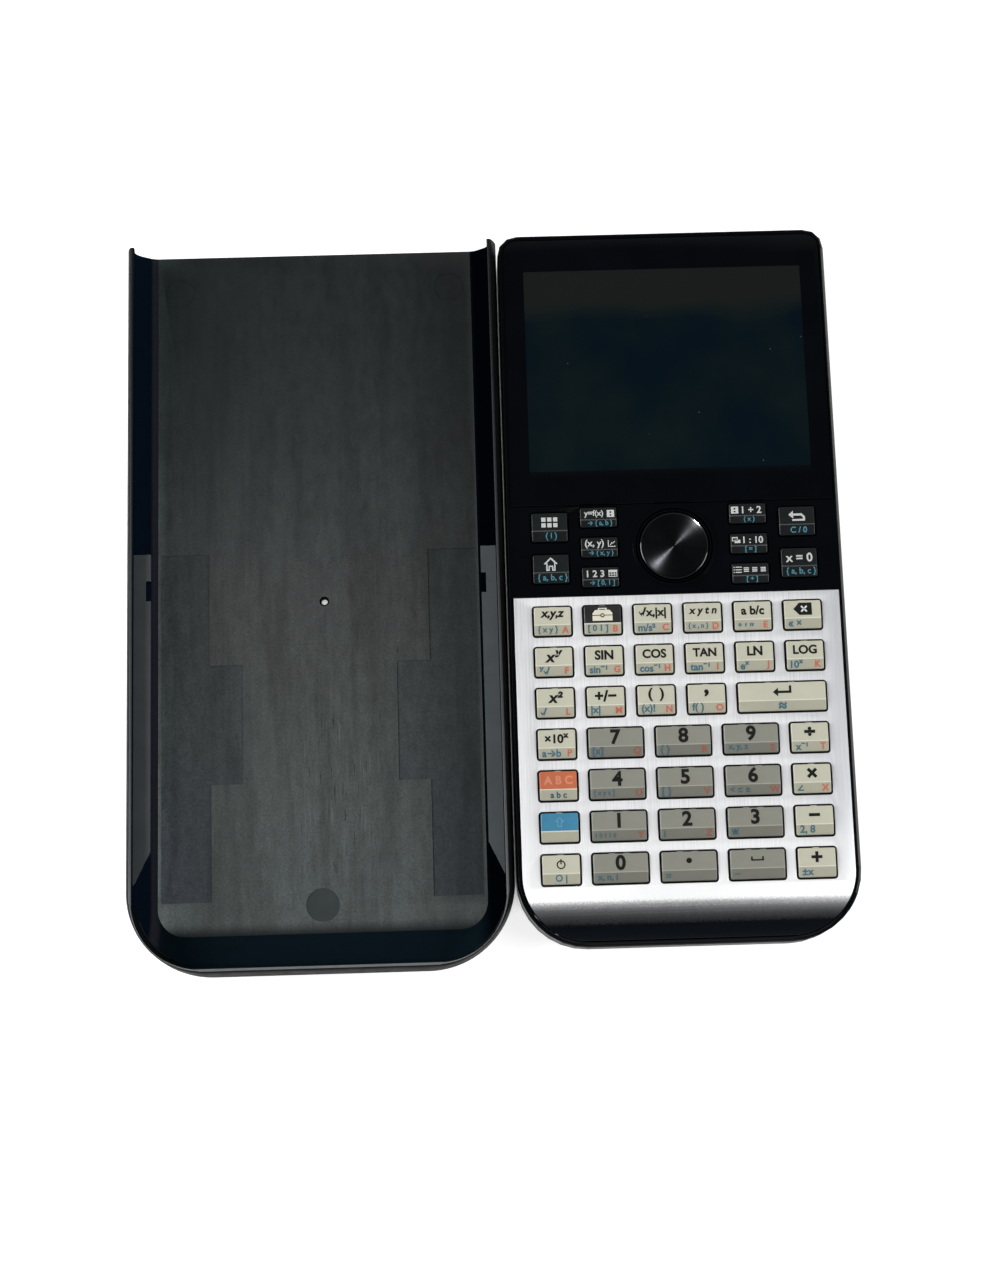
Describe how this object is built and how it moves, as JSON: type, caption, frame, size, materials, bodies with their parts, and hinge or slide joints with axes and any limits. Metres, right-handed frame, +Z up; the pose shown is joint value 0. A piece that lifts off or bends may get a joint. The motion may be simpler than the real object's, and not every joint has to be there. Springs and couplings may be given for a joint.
{
  "type": "graphing calculator",
  "caption": "Handheld graphing calculator with a colour display, four-way pad and hinged keys, lying face up beside its hard slide cover.",
  "frame": {"origin": "centre of the pair's footprint, on the surface that the calculator and its cover lie on", "axes": "+Y towards the display end, +X to the right as seen by the user, +Z up out of the keys"},
  "size_m": [0.1806, 0.1886, 0.0155],
  "materials": {
    "case_black": "fine satin moulded black",
    "frame_black": "gloss black moulding",
    "plate_aluminium": "lengthwise brushed and clear anodised",
    "lens_glass": "clear touch lens with a black printed border",
    "display_panel": "switched-off colour display",
    "board_green": "green solder-masked circuit board",
    "mat_silicone": "grey silicone",
    "battery_wrap": "dark shrink-wrapped cell",
    "screw_steel": "plated steel",
    "pad_metal": "dark, circularly brushed",
    "key_cream": "warm grey-white satin",
    "key_grey": "mid grey satin",
    "key_black": "black semi-gloss",
    "key_orange": "orange satin",
    "key_blue": "blue satin",
    "cover_black": "black textured moulding, worn inside"
  },
  "bodies": {
    "calculator": {"rear_case": "case_black", "front_frame": "frame_black", "face_plate": "plate_aluminium", "screen_lens": "lens_glass", "battery_door": "case_black", "door_screw": "screw_steel", "main_board": "board_green", "lcd_module": "display_panel", "dome_mat": "mat_silicone", "battery": "battery_wrap"},
    "slide_cover": {"slide_cover": "cover_black"},
    "nav_pivot": {"nav_pivot": "mat_silicone"},
    "nav_disc": {"nav_disc": "pad_metal"},
    "key_vars": {"key_vars": "key_cream"},
    "key_toolbox": {"key_toolbox": "key_cream"},
    "key_templates": {"key_templates": "key_cream"},
    "key_variable": {"key_variable": "key_cream"},
    "key_fraction": {"key_fraction": "key_cream"},
    "key_backspace": {"key_backspace": "key_cream"},
    "key_power": {"key_power": "key_cream"},
    "key_sine": {"key_sine": "key_cream"},
    "key_cosine": {"key_cosine": "key_cream"},
    "key_tangent": {"key_tangent": "key_cream"},
    "key_natural_log": {"key_natural_log": "key_cream"},
    "key_common_log": {"key_common_log": "key_cream"},
    "key_square": {"key_square": "key_cream"},
    "key_sign": {"key_sign": "key_cream"},
    "key_parentheses": {"key_parentheses": "key_cream"},
    "key_comma": {"key_comma": "key_cream"},
    "key_enter": {"key_enter": "key_cream"},
    "key_exponent": {"key_exponent": "key_cream"},
    "key_seven": {"key_seven": "key_grey"},
    "key_eight": {"key_eight": "key_grey"},
    "key_nine": {"key_nine": "key_grey"},
    "key_divide": {"key_divide": "key_cream"},
    "key_alpha": {"key_alpha": "key_orange"},
    "key_four": {"key_four": "key_grey"},
    "key_five": {"key_five": "key_grey"},
    "key_six": {"key_six": "key_grey"},
    "key_multiply": {"key_multiply": "key_cream"},
    "key_shift": {"key_shift": "key_blue"},
    "key_one": {"key_one": "key_grey"},
    "key_two": {"key_two": "key_grey"},
    "key_three": {"key_three": "key_grey"},
    "key_minus": {"key_minus": "key_cream"},
    "key_on": {"key_on": "key_cream"},
    "key_zero": {"key_zero": "key_grey"},
    "key_point": {"key_point": "key_grey"},
    "key_space": {"key_space": "key_grey"},
    "key_plus": {"key_plus": "key_cream"},
    "key_apps": {"key_apps": "key_black"},
    "key_home": {"key_home": "key_black"},
    "key_symbolic": {"key_symbolic": "key_black"},
    "key_plot": {"key_plot": "key_black"},
    "key_numeric": {"key_numeric": "key_black"},
    "key_help": {"key_help": "key_black"},
    "key_view": {"key_view": "key_black"},
    "key_menu": {"key_menu": "key_black"},
    "key_escape": {"key_escape": "key_black"},
    "key_algebra": {"key_algebra": "key_black"}
  },
  "joints": [
    {"name": "cover_slide", "type": "slide", "parent": "calculator", "child": "slide_cover", "axis": [0, -1, 0], "range_m": [0, 0.18]},
    {"name": "pad_rock_up_down", "type": "hinge", "parent": "calculator", "child": "nav_pivot", "pos_m": [0.04795, 0.0097, 0.0101], "axis": [1, 0, 0], "range_deg": [-3.5, 3.5], "stiffness_Nm_per_rad": 0.03},
    {"name": "pad_rock_left_right", "type": "hinge", "parent": "nav_pivot", "child": "nav_disc", "pos_m": [0.04795, 0.0097, 0.0101], "axis": [0, 1, 0], "range_deg": [-3.5, 3.5], "stiffness_Nm_per_rad": 0.03},
    {"name": "vars_press", "type": "hinge", "parent": "calculator", "child": "key_vars", "pos_m": [0.01663, -0.00537, 0.0126], "axis": [1, 0, 0], "range_deg": [0, 6], "stiffness_Nm_per_rad": 0.02, "springref_deg": -1.72},
    {"name": "toolbox_press", "type": "hinge", "parent": "calculator", "child": "key_toolbox", "pos_m": [0.02916, -0.00537, 0.0126], "axis": [1, 0, 0], "range_deg": [0, 6], "stiffness_Nm_per_rad": 0.02, "springref_deg": -1.72},
    {"name": "templates_press", "type": "hinge", "parent": "calculator", "child": "key_templates", "pos_m": [0.04168, -0.00537, 0.0126], "axis": [1, 0, 0], "range_deg": [0, 6], "stiffness_Nm_per_rad": 0.02, "springref_deg": -1.72},
    {"name": "variable_press", "type": "hinge", "parent": "calculator", "child": "key_variable", "pos_m": [0.05421, -0.00537, 0.0126], "axis": [1, 0, 0], "range_deg": [0, 6], "stiffness_Nm_per_rad": 0.02, "springref_deg": -1.72},
    {"name": "fraction_press", "type": "hinge", "parent": "calculator", "child": "key_fraction", "pos_m": [0.06674, -0.00537, 0.0126], "axis": [1, 0, 0], "range_deg": [0, 6], "stiffness_Nm_per_rad": 0.02, "springref_deg": -1.72},
    {"name": "backspace_press", "type": "hinge", "parent": "calculator", "child": "key_backspace", "pos_m": [0.07927, -0.00537, 0.0126], "axis": [1, 0, 0], "range_deg": [0, 6], "stiffness_Nm_per_rad": 0.02, "springref_deg": -1.72},
    {"name": "power_press", "type": "hinge", "parent": "calculator", "child": "key_power", "pos_m": [0.01663, -0.01572, 0.0126], "axis": [1, 0, 0], "range_deg": [0, 6], "stiffness_Nm_per_rad": 0.02, "springref_deg": -1.72},
    {"name": "sine_press", "type": "hinge", "parent": "calculator", "child": "key_sine", "pos_m": [0.02916, -0.01572, 0.0126], "axis": [1, 0, 0], "range_deg": [0, 6], "stiffness_Nm_per_rad": 0.02, "springref_deg": -1.72},
    {"name": "cosine_press", "type": "hinge", "parent": "calculator", "child": "key_cosine", "pos_m": [0.04168, -0.01572, 0.0126], "axis": [1, 0, 0], "range_deg": [0, 6], "stiffness_Nm_per_rad": 0.02, "springref_deg": -1.72},
    {"name": "tangent_press", "type": "hinge", "parent": "calculator", "child": "key_tangent", "pos_m": [0.05421, -0.01572, 0.0126], "axis": [1, 0, 0], "range_deg": [0, 6], "stiffness_Nm_per_rad": 0.02, "springref_deg": -1.72},
    {"name": "natural_log_press", "type": "hinge", "parent": "calculator", "child": "key_natural_log", "pos_m": [0.06674, -0.01572, 0.0126], "axis": [1, 0, 0], "range_deg": [0, 6], "stiffness_Nm_per_rad": 0.02, "springref_deg": -1.72},
    {"name": "common_log_press", "type": "hinge", "parent": "calculator", "child": "key_common_log", "pos_m": [0.07927, -0.01572, 0.0126], "axis": [1, 0, 0], "range_deg": [0, 6], "stiffness_Nm_per_rad": 0.02, "springref_deg": -1.72},
    {"name": "square_press", "type": "hinge", "parent": "calculator", "child": "key_square", "pos_m": [0.01663, -0.02608, 0.0126], "axis": [1, 0, 0], "range_deg": [0, 6], "stiffness_Nm_per_rad": 0.02, "springref_deg": -1.72},
    {"name": "sign_press", "type": "hinge", "parent": "calculator", "child": "key_sign", "pos_m": [0.02916, -0.02608, 0.0126], "axis": [1, 0, 0], "range_deg": [0, 6], "stiffness_Nm_per_rad": 0.02, "springref_deg": -1.72},
    {"name": "parentheses_press", "type": "hinge", "parent": "calculator", "child": "key_parentheses", "pos_m": [0.04168, -0.02608, 0.0126], "axis": [1, 0, 0], "range_deg": [0, 6], "stiffness_Nm_per_rad": 0.02, "springref_deg": -1.72},
    {"name": "comma_press", "type": "hinge", "parent": "calculator", "child": "key_comma", "pos_m": [0.05421, -0.02608, 0.0126], "axis": [1, 0, 0], "range_deg": [0, 6], "stiffness_Nm_per_rad": 0.02, "springref_deg": -1.72},
    {"name": "enter_press", "type": "hinge", "parent": "calculator", "child": "key_enter", "pos_m": [0.07301, -0.02608, 0.0126], "axis": [1, 0, 0], "range_deg": [0, 6], "stiffness_Nm_per_rad": 0.02, "springref_deg": -1.72},
    {"name": "exponent_press", "type": "hinge", "parent": "calculator", "child": "key_exponent", "pos_m": [0.01663, -0.03642, 0.0126], "axis": [1, 0, 0], "range_deg": [0, 6], "stiffness_Nm_per_rad": 0.02, "springref_deg": -1.72},
    {"name": "seven_press", "type": "hinge", "parent": "calculator", "child": "key_seven", "pos_m": [0.0312, -0.03642, 0.0126], "axis": [1, 0, 0], "range_deg": [0, 6], "stiffness_Nm_per_rad": 0.02, "springref_deg": -1.72},
    {"name": "eight_press", "type": "hinge", "parent": "calculator", "child": "key_eight", "pos_m": [0.04795, -0.03642, 0.0126], "axis": [1, 0, 0], "range_deg": [0, 6], "stiffness_Nm_per_rad": 0.02, "springref_deg": -1.72},
    {"name": "nine_press", "type": "hinge", "parent": "calculator", "child": "key_nine", "pos_m": [0.0647, -0.03642, 0.0126], "axis": [1, 0, 0], "range_deg": [0, 6], "stiffness_Nm_per_rad": 0.02, "springref_deg": -1.72},
    {"name": "divide_press", "type": "hinge", "parent": "calculator", "child": "key_divide", "pos_m": [0.07927, -0.03642, 0.0126], "axis": [1, 0, 0], "range_deg": [0, 6], "stiffness_Nm_per_rad": 0.02, "springref_deg": -1.72},
    {"name": "alpha_press", "type": "hinge", "parent": "calculator", "child": "key_alpha", "pos_m": [0.01663, -0.04677, 0.0126], "axis": [1, 0, 0], "range_deg": [0, 6], "stiffness_Nm_per_rad": 0.02, "springref_deg": -1.72},
    {"name": "four_press", "type": "hinge", "parent": "calculator", "child": "key_four", "pos_m": [0.0312, -0.04677, 0.0126], "axis": [1, 0, 0], "range_deg": [0, 6], "stiffness_Nm_per_rad": 0.02, "springref_deg": -1.72},
    {"name": "five_press", "type": "hinge", "parent": "calculator", "child": "key_five", "pos_m": [0.04795, -0.04677, 0.0126], "axis": [1, 0, 0], "range_deg": [0, 6], "stiffness_Nm_per_rad": 0.02, "springref_deg": -1.72},
    {"name": "six_press", "type": "hinge", "parent": "calculator", "child": "key_six", "pos_m": [0.0647, -0.04677, 0.0126], "axis": [1, 0, 0], "range_deg": [0, 6], "stiffness_Nm_per_rad": 0.02, "springref_deg": -1.72},
    {"name": "multiply_press", "type": "hinge", "parent": "calculator", "child": "key_multiply", "pos_m": [0.07927, -0.04677, 0.0126], "axis": [1, 0, 0], "range_deg": [0, 6], "stiffness_Nm_per_rad": 0.02, "springref_deg": -1.72},
    {"name": "shift_press", "type": "hinge", "parent": "calculator", "child": "key_shift", "pos_m": [0.01663, -0.05713, 0.0126], "axis": [1, 0, 0], "range_deg": [0, 6], "stiffness_Nm_per_rad": 0.02, "springref_deg": -1.72},
    {"name": "one_press", "type": "hinge", "parent": "calculator", "child": "key_one", "pos_m": [0.0312, -0.05713, 0.0126], "axis": [1, 0, 0], "range_deg": [0, 6], "stiffness_Nm_per_rad": 0.02, "springref_deg": -1.72},
    {"name": "two_press", "type": "hinge", "parent": "calculator", "child": "key_two", "pos_m": [0.04795, -0.05713, 0.0126], "axis": [1, 0, 0], "range_deg": [0, 6], "stiffness_Nm_per_rad": 0.02, "springref_deg": -1.72},
    {"name": "three_press", "type": "hinge", "parent": "calculator", "child": "key_three", "pos_m": [0.0647, -0.05713, 0.0126], "axis": [1, 0, 0], "range_deg": [0, 6], "stiffness_Nm_per_rad": 0.02, "springref_deg": -1.72},
    {"name": "minus_press", "type": "hinge", "parent": "calculator", "child": "key_minus", "pos_m": [0.07927, -0.05713, 0.0126], "axis": [1, 0, 0], "range_deg": [0, 6], "stiffness_Nm_per_rad": 0.02, "springref_deg": -1.72},
    {"name": "on_press", "type": "hinge", "parent": "calculator", "child": "key_on", "pos_m": [0.01663, -0.06747, 0.0126], "axis": [1, 0, 0], "range_deg": [0, 6], "stiffness_Nm_per_rad": 0.02, "springref_deg": -1.72},
    {"name": "zero_press", "type": "hinge", "parent": "calculator", "child": "key_zero", "pos_m": [0.0312, -0.06747, 0.0126], "axis": [1, 0, 0], "range_deg": [0, 6], "stiffness_Nm_per_rad": 0.02, "springref_deg": -1.72},
    {"name": "point_press", "type": "hinge", "parent": "calculator", "child": "key_point", "pos_m": [0.04795, -0.06747, 0.0126], "axis": [1, 0, 0], "range_deg": [0, 6], "stiffness_Nm_per_rad": 0.02, "springref_deg": -1.72},
    {"name": "space_press", "type": "hinge", "parent": "calculator", "child": "key_space", "pos_m": [0.0647, -0.06747, 0.0126], "axis": [1, 0, 0], "range_deg": [0, 6], "stiffness_Nm_per_rad": 0.02, "springref_deg": -1.72},
    {"name": "plus_press", "type": "hinge", "parent": "calculator", "child": "key_plus", "pos_m": [0.07927, -0.06747, 0.0126], "axis": [1, 0, 0], "range_deg": [0, 6], "stiffness_Nm_per_rad": 0.02, "springref_deg": -1.72},
    {"name": "apps_press", "type": "slide", "parent": "calculator", "child": "key_apps", "axis": [0, 0, -1], "range_m": [0, 0.0007], "stiffness_N_per_m": 800, "springref_m": -0.0003},
    {"name": "home_press", "type": "slide", "parent": "calculator", "child": "key_home", "axis": [0, 0, -1], "range_m": [0, 0.0007], "stiffness_N_per_m": 800, "springref_m": -0.0003},
    {"name": "symbolic_press", "type": "slide", "parent": "calculator", "child": "key_symbolic", "axis": [0, 0, -1], "range_m": [0, 0.0007], "stiffness_N_per_m": 800, "springref_m": -0.0003},
    {"name": "plot_press", "type": "slide", "parent": "calculator", "child": "key_plot", "axis": [0, 0, -1], "range_m": [0, 0.0007], "stiffness_N_per_m": 800, "springref_m": -0.0003},
    {"name": "numeric_press", "type": "slide", "parent": "calculator", "child": "key_numeric", "axis": [0, 0, -1], "range_m": [0, 0.0007], "stiffness_N_per_m": 800, "springref_m": -0.0003},
    {"name": "help_press", "type": "slide", "parent": "calculator", "child": "key_help", "axis": [0, 0, -1], "range_m": [0, 0.0007], "stiffness_N_per_m": 800, "springref_m": -0.0003},
    {"name": "view_press", "type": "slide", "parent": "calculator", "child": "key_view", "axis": [0, 0, -1], "range_m": [0, 0.0007], "stiffness_N_per_m": 800, "springref_m": -0.0003},
    {"name": "menu_press", "type": "slide", "parent": "calculator", "child": "key_menu", "axis": [0, 0, -1], "range_m": [0, 0.0007], "stiffness_N_per_m": 800, "springref_m": -0.0003},
    {"name": "escape_press", "type": "slide", "parent": "calculator", "child": "key_escape", "axis": [0, 0, -1], "range_m": [0, 0.0007], "stiffness_N_per_m": 800, "springref_m": -0.0003},
    {"name": "algebra_press", "type": "slide", "parent": "calculator", "child": "key_algebra", "axis": [0, 0, -1], "range_m": [0, 0.0007], "stiffness_N_per_m": 800, "springref_m": -0.0003}
  ]
}
